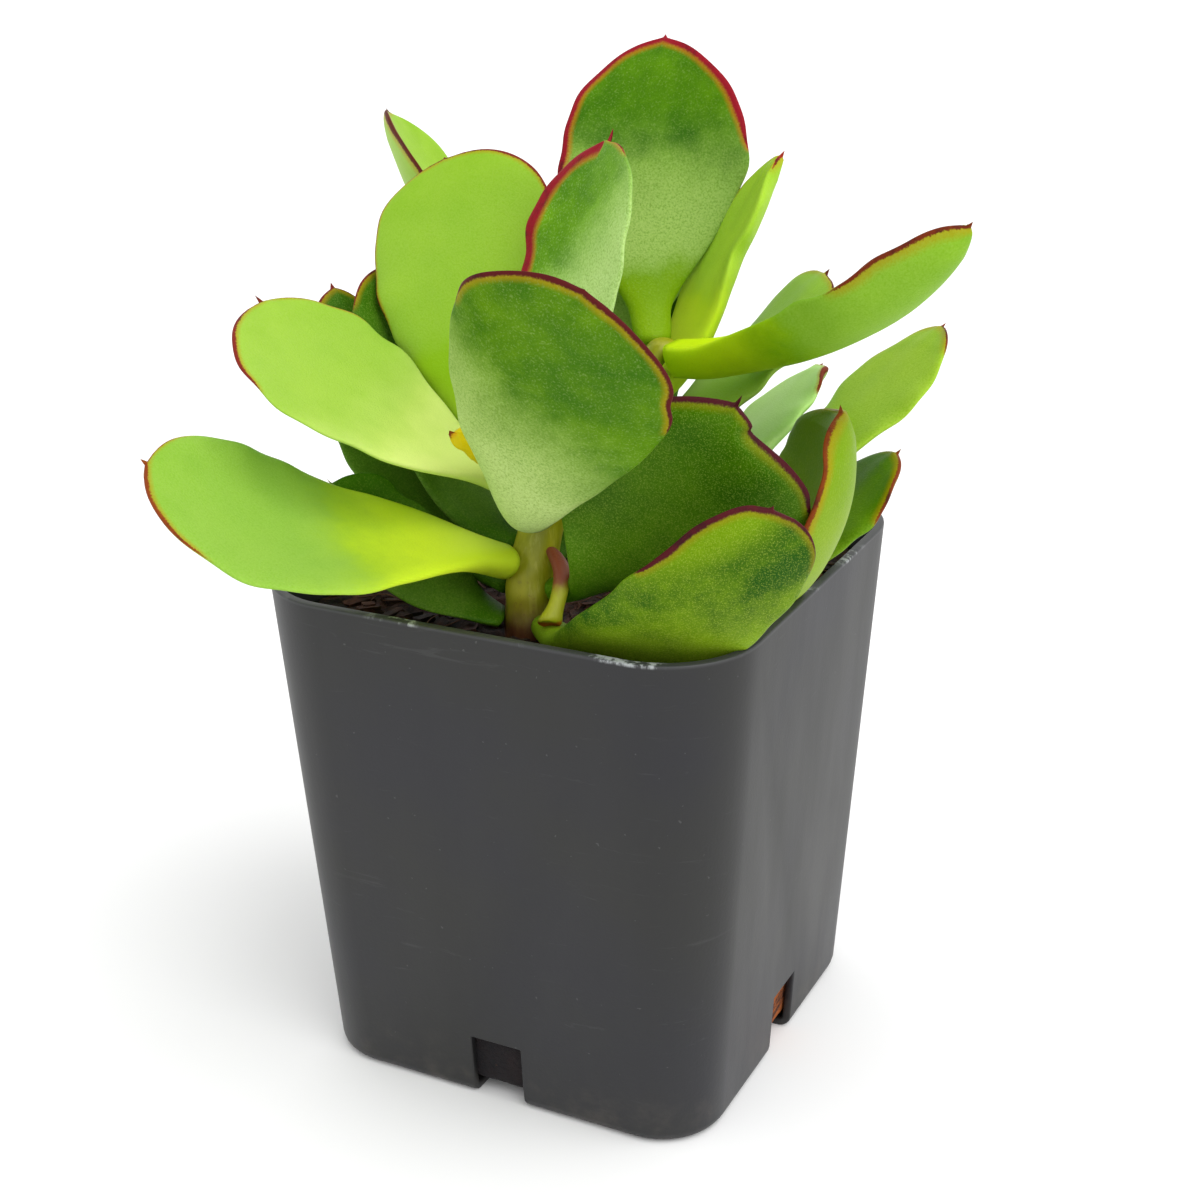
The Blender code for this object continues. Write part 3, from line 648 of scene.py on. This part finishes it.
def leaf_skin_group():
    """The skin's pattern: green mottling, yellow stalk, mealy bloom, speckles, and a red edge with a yellow glow."""
    tree = bpy.data.node_groups.new("leaf_skin_pattern", "ShaderNodeTree")
    colours = ("Blade", "Deep", "Bloom", "Stalk", "Edge", "Glow")
    numbers = ("Stalk End", "Mottling", "Bloom Low", "Bloom High", "Bloom Share", "Speckles", "Grain", "Deep From",
               "Deep To", "Glow Width", "Lean")
    for label in colours:
        tree.interface.new_socket(name=label, in_out="INPUT", socket_type="NodeSocketColor")
    for label in numbers:
        tree.interface.new_socket(name=label, in_out="INPUT", socket_type="NodeSocketFloat")
    for label, kind in (("Colour", "NodeSocketColor"), ("Roughness", "NodeSocketFloat"), ("Height", "NodeSocketFloat")):
        tree.interface.new_socket(name=label, in_out="OUTPUT", socket_type=kind)
    given = tree.nodes.new("NodeGroupInput").outputs
    result = tree.nodes.new("NodeGroupOutput")

    def read(label):
        return add_node(tree, "Attribute", {"attribute_name": label}).outputs["Fac"]

    along, from_edge, red_edge = read("along"), read("from_edge"), read("red_edge")
    patches = grain(tree, 150, 5, 0.6)
    fine = grain(tree, 4600, 3, 0.6)
    wander = worked(tree, "SUBTRACT", patches, 0.5)

    # green, deeper in soft patches over a part of the blade
    deep = ramped(tree, patches, 0.12, 0.82)
    leant = worked(tree, "ADD", along, worked(tree, "MULTIPLY", read("across"), given["Lean"]))
    wandering = worked(tree, "ADD", leant, worked(tree, "MULTIPLY", wander, 0.4))
    outer = worked(tree, "MULTIPLY",
                   ramped(tree, wandering, given["Deep From"], worked(tree, "ADD", given["Deep From"], 0.35)),
                   ramped(tree, wandering, given["Deep To"], worked(tree, "ADD", given["Deep To"], 0.2), 1.0, 0.0))
    deep = worked(tree, "MULTIPLY", worked(tree, "MULTIPLY", deep, outer), given["Mottling"])
    colour = blended(tree, deep, given["Blade"], given["Deep"])

    # the stalk's yellow runs a little way into the blade
    rim_glow = ramped(tree, from_edge, 0.3, 3.0, 0.06, 0.0)
    reached = worked(tree, "ADD", worked(tree, "SUBTRACT", along, rim_glow), worked(tree, "MULTIPLY", wander, 0.25))
    stalk = ramped(tree, reached, worked(tree, "SUBTRACT", given["Stalk End"], 0.2),
                   worked(tree, "ADD", given["Stalk End"], 0.2), 1.0, 0.0)
    colour = blended(tree, stalk, colour, given["Stalk"])

    # mealy bloom, thickest at one part of the blade and worn in patches
    worn = worked(tree, "ADD", leant, worked(tree, "MULTIPLY", wander, 0.22))
    rising = ramped(tree, worn, worked(tree, "SUBTRACT", given["Bloom Low"], 0.12), given["Bloom Low"])
    falling = ramped(tree, worn, given["Bloom High"], worked(tree, "ADD", given["Bloom High"], 0.4), 1.0, 0.0)
    powder = ramped(tree, fine, 0.3, 0.62, 0.6, 1.0)
    bloom = worked(tree, "MULTIPLY", worked(tree, "MULTIPLY", rising, falling), powder)
    bloom = worked(tree, "MULTIPLY", bloom, given["Bloom Share"])
    colour = blended(tree, bloom, colour, given["Bloom"])

    # a fine grain of paler and deeper skin cells, and pale pores
    pale_cells = worked(tree, "MULTIPLY", ramped(tree, fine, 0.5, 0.75), given["Grain"])
    colour = blended(tree, pale_cells, colour, given["Bloom"])
    deep_cells = worked(tree, "MULTIPLY", ramped(tree, fine, 0.5, 0.25), given["Grain"])
    colour = blended(tree, deep_cells, colour, given["Deep"])
    dots = add_node(tree, "TexVoronoi", Vector=add_node(tree, "TexCoord").outputs["Object"], Scale=5200.0)
    pores = worked(tree, "MULTIPLY", ramped(tree, dots.outputs["Distance"], 0.16, 0.44, 1.0, 0.0), given["Speckles"])
    colour = blended(tree, pores, colour, given["Bloom"])

    # the red edge, uneven in width, with dried dark spots and a yellow glow inside it
    ragged = worked(tree, "ADD", from_edge, worked(tree, "MULTIPLY", worked(tree, "SUBTRACT", fine, 0.5), 0.35))
    ragged = worked(tree, "ADD", ragged, worked(tree, "MULTIPLY", wander, 0.5))
    started = ramped(tree, red_edge, 0.02, 0.2)
    glow_end = worked(tree, "ADD", red_edge, given["Glow Width"])
    glow = worked(tree, "MULTIPLY", ramped(tree, ragged, red_edge, glow_end, 0.6, 0.0), started)
    colour = blended(tree, glow, colour, given["Glow"])
    red = ramped(tree, ragged, worked(tree, "MULTIPLY", red_edge, 0.7), worked(tree, "MULTIPLY", red_edge, 1.2),
                 1.0, 0.0)
    red = worked(tree, "MULTIPLY", red, started)
    dried = worked(tree, "MULTIPLY", ramped(tree, grain(tree, 420, 4, 0.6), 0.5, 0.7), 0.7)
    colour = blended(tree, red, colour, blended(tree, dried, given["Edge"], srgb(48, 20, 26)))

    tree.links.new(colour, result.inputs["Colour"])
    smooth = ramped(tree, bloom, 0.0, 0.8, 0.42, 0.62)
    tree.links.new(worked(tree, "ADD", smooth, worked(tree, "MULTIPLY", red, 0.12)), result.inputs["Roughness"])
    height = worked(tree, "ADD", fine, worked(tree, "MULTIPLY", pores, 0.8))
    height = worked(tree, "ADD", height, worked(tree, "MULTIPLY", worked(tree, "MULTIPLY", red, dried), 1.5))
    tree.links.new(height, result.inputs["Height"])
    return tree


def leaf_skin(name, **values):
    """A leaf's skin with its own greens, and its own strength of bloom, speckles and red edge."""
    made, tree, shader = new_material(name)
    pattern = tree.nodes.new("ShaderNodeGroup")
    pattern.node_tree = skin_pattern
    for label, value in {**usual_skin, **values}.items():
        pattern.inputs[label.replace("_", " ")].default_value = value
    tree.links.new(pattern.outputs["Colour"], shader.inputs["Base Color"])
    tree.links.new(pattern.outputs["Roughness"], shader.inputs["Roughness"])
    rough_up(tree, shader, pattern.outputs["Height"], 0.06 * MM, 0.7)
    shader.inputs["Subsurface Weight"].default_value = 0.08
    shader.inputs["Subsurface Radius"].default_value = (0.6, 1.0, 0.2)
    shader.inputs["Subsurface Scale"].default_value = 1.2 * MM
    shader.inputs["Specular IOR Level"].default_value = 0.07
    return made


blank = leaf_blank(88, 48)
skin_pattern = leaf_skin_group()
usual_skin = dict(Blade=srgb(112, 158, 14), Deep=srgb(66, 116, 0), Bloom=srgb(166, 196, 90), Stalk=srgb(170, 194, 24),
                  Edge=srgb(112, 34, 28), Glow=srgb(168, 134, 10), Stalk_End=0.2, Mottling=0.6, Bloom_Low=0.2,
                  Bloom_High=0.45, Bloom_Share=0.5, Speckles=0.12, Grain=0.2, Deep_From=0.4, Deep_To=1.3,
                  Glow_Width=0.8, Lean=0.0)
reaching_skin = leaf_skin("reaching_leaf", Blade=srgb(134, 178, 44), Deep=srgb(108, 162, 10),
                          Stalk=srgb(208, 234, 44), Bloom=srgb(158, 198, 92), Edge=srgb(136, 62, 22), Stalk_End=0.42,
                          Bloom_Low=0.55, Bloom_High=0.8, Bloom_Share=0.5, Speckles=0.04, Grain=0.1, Glow_Width=0.5,
                          Mottling=0.6)
shaded_skin = leaf_skin("shaded_leaf", Blade=srgb(76, 122, 0), Deep=srgb(34, 82, 0), Stalk=srgb(80, 130, 8),
                        Edge=srgb(72, 20, 28), Glow=srgb(130, 126, 8), Stalk_End=0.1, Bloom_Share=0.1, Speckles=0.35,
                        Grain=0.3, Glow_Width=0.8, Mottling=0.9, Deep_From=0.0, Deep_To=0.8, Bloom=srgb(150, 178, 70))
resting_skin = leaf_skin("resting_leaf", Blade=srgb(106, 142, 0), Deep=srgb(26, 76, 0), Stalk=srgb(120, 160, 10),
                         Edge=srgb(78, 22, 28), Glow=srgb(140, 124, 8), Stalk_End=0.1, Bloom_Share=0.15, Speckles=0.3,
                         Grain=0.22, Glow_Width=0.8, Mottling=1.25, Deep_From=0.34, Bloom=srgb(172, 192, 70),
                         Lean=-0.3, Bloom_High=0.4, Deep_To=0.82)
# A darker green skin, painted shade, for the leaves that stand in deep shade behind the stem and under the low front
# leaves.
back_shade_skin = leaf_skin("back_leaf_shade", Blade=srgb(66, 112, 10), Deep=srgb(34, 80, 0), Bloom_Share=0.15,
                      Stalk=srgb(60, 104, 8))
young_skin = leaf_skin("young_leaf", Blade=srgb(206, 186, 12), Deep=srgb(176, 160, 10), Stalk=srgb(200, 190, 20),
                       Edge=srgb(120, 40, 20), Glow=srgb(206, 130, 16), Bloom_Share=0.1, Speckles=0.0, Grain=0.1)

grow_leaf("leaf_low_left", reaching_skin, height=61.5, heading=234, rise=25, bend=-36, curl=56, swing=-10, roll=3,
          twist=-30, length=41.5, width=24.5, petiole=0.02, neck=7, cup=0.15, skew=0.15, point=0.8,
          red_left=(0.8, 0.28), red_right=(0.86, 0.26), plump=1.25, rooted=0.6)
grow_leaf("leaf_low_front", resting_skin, height=55.6, heading=-41, rise=-2, bend=12, curl=50, swing=53, roll=-47,
          twist=-6, length=40.5, width=15.5, petiole=0.02, widest=0.55, blunt=0.35, neck=3.6, cup=0.02, skew=0.2,
          point=0.5, red_left=(0.86, 0.4), red_right=(0.64, 0.45), ruffle=0.3)
grow_leaf("leaf_low_shaded", back_shade_skin, height=55.5, heading=206, rise=36, bend=2, curl=5, swing=-20, roll=-45,
          length=23.5, width=10, petiole=0.02, widest=0.55, blunt=0.45, neck=6.5, red_left=(0.95, 0.2),
          red_right=(0.95, 0.2), plump=0.6)
grow_leaf("leaf_low_back_left", back_shade_skin, height=59, heading=164, rise=15, bend=22, curl=24, swing=-8, roll=-4,
          twist=8, length=42, width=14.5, petiole=0.02, widest=0.55, blunt=0.6, neck=4.5, skew=0.05)
grow_leaf("leaf_low_back", back_shade_skin, height=60.5, heading=97, rise=28, bend=10, curl=10, length=35.5, width=19,
          petiole=0.15, blunt=0.45, neck=4.5, cup=0.1)
grow_leaf("leaf_broad_right", shaded_skin, height=59, heading=-9, rise=24, bend=21, curl=13, swing=-10, roll=-52,
          twist=-6, length=36, width=26.5, petiole=0.02, blunt=0.95, cup=0.1, skew=0.05, point=1.4,
          dents=((0.885, 1, -2.4, 0.03), (0.8, 1, 1.0, 0.035)), red_left=(0.66, 0.45), red_right=(0.6, 0.45))

# ---------------------------------------------------------------- middle leaves
# The broadest leaves, half way up the main stem. The left ones are a paler lime, and the
# upright one in front keeps the thickest bloom.
lime_skin = leaf_skin("lime_leaf", Blade=srgb(142, 186, 26), Deep=srgb(112, 166, 8), Bloom=srgb(158, 196, 80),
                      Stalk=srgb(180, 214, 60), Edge=srgb(120, 40, 26), Bloom_Low=0.5, Bloom_High=0.75,
                      Bloom_Share=0.5, Speckles=0.04, Grain=0.1, Glow_Width=0.5, Mottling=0.6)
pale_lime_skin = leaf_skin("pale_lime_leaf", Blade=srgb(150, 190, 46), Deep=srgb(118, 168, 20),
                          Bloom=srgb(168, 200, 98), Stalk=srgb(208, 226, 124), Edge=srgb(124, 40, 28), Stalk_End=0.42,
                          Bloom_Low=0.5, Bloom_High=0.75, Bloom_Share=0.4, Speckles=0.03, Grain=0.1, Glow_Width=0.5,
                          Mottling=0.5)
front_skin = leaf_skin("front_leaf", Blade=srgb(98, 142, 0), Deep=srgb(42, 94, 0), Bloom=srgb(188, 210, 130),
                       Edge=srgb(84, 24, 24), Stalk_End=0.05, Bloom_Low=0.05, Bloom_High=0.34, Bloom_Share=0.9,
                       Speckles=0.02, Grain=0.2, Mottling=1.0, Deep_From=0.45, Lean=0.1)
haze_skin = leaf_skin("hazy_leaf", Blade=srgb(158, 198, 60), Deep=srgb(116, 162, 20), Bloom=srgb(168, 204, 104),
                      Edge=srgb(88, 34, 20), Speckles=0.02, Grain=0.15)

grow_leaf("leaf_front_upright", front_skin, height=67, heading=-78, rise=10, bend=50, curl=-15, swing=52, roll=-25,
          twist=-26, length=47.5, width=22.5, petiole=0.02, widest=0.75, blunt=0.55, neck=4.5, skew=0.15, point=0.3,
          ruffle=0.7, dents=((0.9, -1, 0.5, 0.04), (0.84, 1, -0.5, 0.03)), red_left=(0.72, 0.42),
          red_right=(0.76, 0.4))
grow_leaf("leaf_mid_left", pale_lime_skin, height=68, heading=216, rise=33, bend=-9, curl=20, swing=-40, roll=-10,
          twist=11, length=35.5, width=25.5, widest=0.65, blunt=0.55, cup=0.1, skew=0.1, point=1.2,
          red_left=(0.7, 0.34), red_right=(0.72, 0.28), dents=((0.86, -1, -1.0, 0.05),))
grow_leaf("leaf_mid_back_left", back_shade_skin, height=62.5, heading=154, rise=18, bend=26, curl=12, swing=-10, roll=24,
          twist=5, length=39, width=21, petiole=0.02, blunt=0.55, skew=0.05)
grow_leaf("leaf_mid_back", back_shade_skin, height=68, heading=87, rise=37, bend=9, curl=10, roll=-1, length=33, width=18,
          petiole=0.15, blunt=0.45, neck=4.5, cup=0.1)
grow_leaf("leaf_broad_left", lime_skin, height=70, heading=168, rise=26, bend=54, curl=-25, swing=-45, roll=-51,
          twist=9, length=38, width=24, petiole=0.1, widest=0.7, blunt=0.45, neck=3.6, cup=0.02, skew=-0.1, point=0.3,
          red_left=(0.5, 0.26), red_right=(0.66, 0.28))
grow_leaf("leaf_young_left", young_skin, height=71.5, heading=256, rise=14, bend=-1, curl=22, swing=17, roll=87,
          twist=31, length=20, width=3, petiole=0.15, blunt=0.6, neck=3.5, cup=0.1, skew=0.1, red_left=(0.93, 0.5),
          red_right=(0.93, 0.5), plump=0.7)
grow_leaf("leaf_tall_back_left", haze_skin, height=74.5, heading=146, rise=8, bend=18, curl=28, swing=8, roll=68,
          twist=-34, length=51.5, width=21, petiole=0.2, blunt=0.55, neck=3.6, cup=0.3, red_left=(0.4, 0.35),
          red_right=(0.97, 0.3))
grow_leaf("leaf_mid_right", haze_skin, height=74, heading=45, rise=18, bend=6, curl=30, swing=-8, roll=-5, twist=5,
          length=32, width=16, petiole=0.15, blunt=0.4, cup=0.02, skew=-0.1, red_left=(0.86, 0.3),
          red_right=(0.88, 0.3), neck=6)

# ---------------------------------------------------------------- crown leaves
# The newest leaves, round the top of the main stem. They stand the steepest and take most of the sun,
# so their edges are the reddest.
crown_skin = leaf_skin("crown_leaf", Blade=srgb(118, 172, 4), Deep=srgb(46, 104, 0), Bloom=srgb(196, 224, 146),
                       Stalk=srgb(176, 208, 120), Edge=srgb(140, 20, 34), Glow=srgb(186, 110, 20), Stalk_End=0.12,
                       Bloom_Low=0.1, Bloom_High=0.32, Bloom_Share=0.85, Speckles=0.03, Grain=0.24, Deep_From=0.35,
                       Mottling=0.9, Glow_Width=0.7, Lean=-0.25)
topmost_skin = leaf_skin("topmost_leaf", Blade=srgb(92, 142, 0), Deep=srgb(40, 92, 0), Bloom=srgb(170, 198, 108),
                         Stalk=srgb(136, 172, 16), Edge=srgb(140, 20, 34), Glow=srgb(186, 110, 20), Stalk_End=0.22,
                         Bloom_Low=0.3, Bloom_High=0.36, Bloom_Share=0.8, Speckles=0.02, Grain=0.2, Deep_From=0.4,
                         Mottling=1.0, Glow_Width=0.7)
# The stalk's bright yellow is partly its own colour and partly painted light, for sun shining through the narrow crown
# leaf's stalk.
sunlit_skin = leaf_skin("sunlit_leaf", Blade=srgb(166, 206, 22), Deep=srgb(122, 172, 6), Bloom=srgb(176, 212, 90),
                        Stalk=srgb(222, 240, 60), Edge=srgb(150, 40, 24), Stalk_End=0.4, Bloom_Low=0.5,
                        Bloom_High=0.8, Bloom_Share=0.4, Speckles=0.04, Grain=0.12, Mottling=0.6)
fleshy_skin = leaf_skin("fleshy_leaf", Blade=srgb(128, 176, 16), Deep=srgb(98, 150, 0), Bloom=srgb(160, 200, 84),
                        Stalk=srgb(206, 236, 20), Edge=srgb(112, 44, 20), Stalk_End=0.25, Bloom_Low=0.5,
                        Bloom_High=0.8, Bloom_Share=0.35, Speckles=0.04, Grain=0.15, Mottling=0.7, Deep_From=0.1)

grow_leaf("leaf_crown_front", crown_skin, height=75.5, heading=-98, rise=55, bend=41, curl=28, swing=2, roll=-16,
          twist=-10, length=32.5, width=18, blunt=0.56, neck=4.5, cup=-0.2, skew=0.08, point=1.6,
          red_left=(0.86, 0.3), red_right=(0.4, 1.5))
grow_leaf("leaf_crown_back", topmost_skin, height=77, heading=104, rise=41, bend=9, curl=4, swing=-11, roll=-3,
          twist=-1, length=39, width=19, petiole=0.15, blunt=0.3, cup=0.1, skew=-0.05, red_left=(0.5, 0.5),
          red_right=(0.97, 0.2))
grow_leaf("leaf_crown_narrow", sunlit_skin, height=79.5, heading=55, rise=40, bend=29, curl=-9, swing=-19, roll=5,
          twist=-11, length=31, width=10, petiole=0.02, widest=0.5, blunt=0.6, neck=3.6, cup=0.25, skew=0.05,
          red_left=(0.55, 0.35), red_right=(0.9, 0.3), ruffle=0.2)
grow_leaf("leaf_crown_top", topmost_skin, height=83.5, heading=126, rise=60, curl=2, swing=-34, roll=1, twist=-6,
          length=35, width=21, petiole=0.05, blunt=0.7, neck=4.5, cup=0.1, skew=-0.05, point=0.5,
          red_left=(0.45, 0.75), red_right=(0.6, 0.75), widest=0.62, ruffle=0.2)
grow_leaf("leaf_crown_right", fleshy_skin, height=83.5, heading=-4, rise=10, bend=-13, curl=59, swing=-16, roll=-6,
          twist=-2, length=40, width=12.5, petiole=0.02, widest=0.55, blunt=0.6, cup=0.5, plump=1.3,
          red_left=(0.9, 0.2), red_right=(0.6, 0.22), wavy=0.1, neck=5.5)

# ---------------------------------------------------------------- side shoot's leaves
# A short shoot behind and to the right, from the same roots. Its leaves are paler and bluer than the
# main stem's, and one of them is folded along its midrib.
pale_skin = leaf_skin("pale_leaf", Blade=srgb(172, 216, 116), Deep=srgb(150, 200, 80), Bloom=srgb(190, 224, 146),
                      Stalk=srgb(150, 190, 60), Edge=srgb(116, 44, 24), Bloom_Low=0.3, Bloom_High=0.7, Speckles=0.02,
                      Grain=0.12, Glow_Width=0.6)
golden_skin = leaf_skin("golden_leaf", Blade=srgb(148, 186, 14), Deep=srgb(112, 160, 0), Bloom=srgb(176, 206, 80),
                        Stalk=srgb(140, 180, 20), Edge=srgb(126, 50, 20), Bloom_Low=0.3, Bloom_High=0.7,
                        Speckles=0.03, Grain=0.25, Mottling=0.8, Deep_From=0.1, Glow_Width=1.2)
inner_skin = leaf_skin("inner_leaf", Blade=srgb(96, 138, 4), Deep=srgb(64, 110, 0), Bloom=srgb(156, 184, 60),
                       Stalk=srgb(110, 150, 10), Edge=srgb(120, 52, 18), Bloom_Share=0.25, Speckles=0.1, Grain=0.25,
                       Glow_Width=1.0)
folded_skin = leaf_skin("folded_leaf", Blade=srgb(122, 154, 10), Deep=srgb(104, 146, 4), Bloom=srgb(164, 190, 74),
                        Stalk=srgb(130, 164, 14), Edge=srgb(124, 56, 16), Bloom_Share=0.3, Speckles=0.1, Grain=0.25,
                        Glow_Width=0.8)
grow_leaf("side_leaf_back", pale_skin, stem=SIDE_STEM, height=65, heading=90, rise=28, curl=2, swing=-23, roll=-31,
          twist=4, length=26.5, width=15, petiole=0.15, widest=0.65, blunt=0.6, skew=0.1, red_left=(0.93, 0.2),
          red_right=(0.7, 0.34))
grow_leaf("side_leaf_long", golden_skin, stem=SIDE_STEM, height=61.5, heading=62, rise=28, bend=1, curl=10, swing=-7,
          roll=-5, twist=-5, length=39, width=14.5, petiole=0.2, widest=0.65, blunt=0.55, skew=-0.05,
          red_left=(0.78, 0.28), red_right=(0.86, 0.3))
grow_leaf("side_leaf_folded", folded_skin, stem=SIDE_STEM, height=59, heading=0, rise=-17, bend=40, curl=80, swing=17,
          roll=23, twist=-10, length=31.5, width=22, petiole=0.1, widest=0.55, blunt=0.45, cup=0.4, skew=0.1,
          plump=1.3, red_left=(0.9, 0.2), red_right=(0.4, 0.28))
grow_leaf("side_leaf_low", inner_skin, stem=SIDE_STEM, height=56.5, heading=56, rise=7, bend=8, curl=34, swing=-17,
          roll=-1, twist=-2, length=29, width=14, petiole=0.1, widest=0.55, neck=3.6, cup=0.02, skew=-0.05,
          red_left=(0.88, 0.25), red_right=(0.68, 0.3))
bpy.data.objects.remove(blank)

# ---------------------------------------------------------------- floor and light
# A plain pale floor and an even white sky, with one broad soft light from above on the right.
FLOOR_SIZE = 8
SOFTBOX_FROM = Vector((0.85, -0.2, 1.0))
bpy.ops.object.select_all(action="DESELECT")
bpy.ops.mesh.primitive_plane_add(size=FLOOR_SIZE)
floor = bpy.context.object
floor.name = "floor"
paper, tree, shader = new_material("paper")
tree.links.new(blended(tree, grain(tree, 3, 2), srgb(246, 246, 246), srgb(250, 250, 250)), shader.inputs["Base Color"])
shader.inputs["Roughness"].default_value = 0.9
floor.data.materials.append(paper)

sky = bpy.data.worlds.new("sky")
bpy.context.scene.world = sky
sky.use_nodes = True
sky.node_tree.nodes["Background"].inputs["Color"].default_value = (1, 1, 1, 1)
sky.node_tree.nodes["Background"].inputs["Strength"].default_value = 1.0
sun = bpy.data.lights.new("softbox", "SUN")
sun.energy = 1.6
sun.angle = math.radians(60)
softbox = bpy.data.objects.new("softbox", sun)
bpy.context.scene.collection.objects.link(softbox)
softbox.matrix_world = SOFTBOX_FROM.to_track_quat("Z", "Y").to_matrix().to_4x4()
bpy.context.scene.view_settings.view_transform = "Standard"
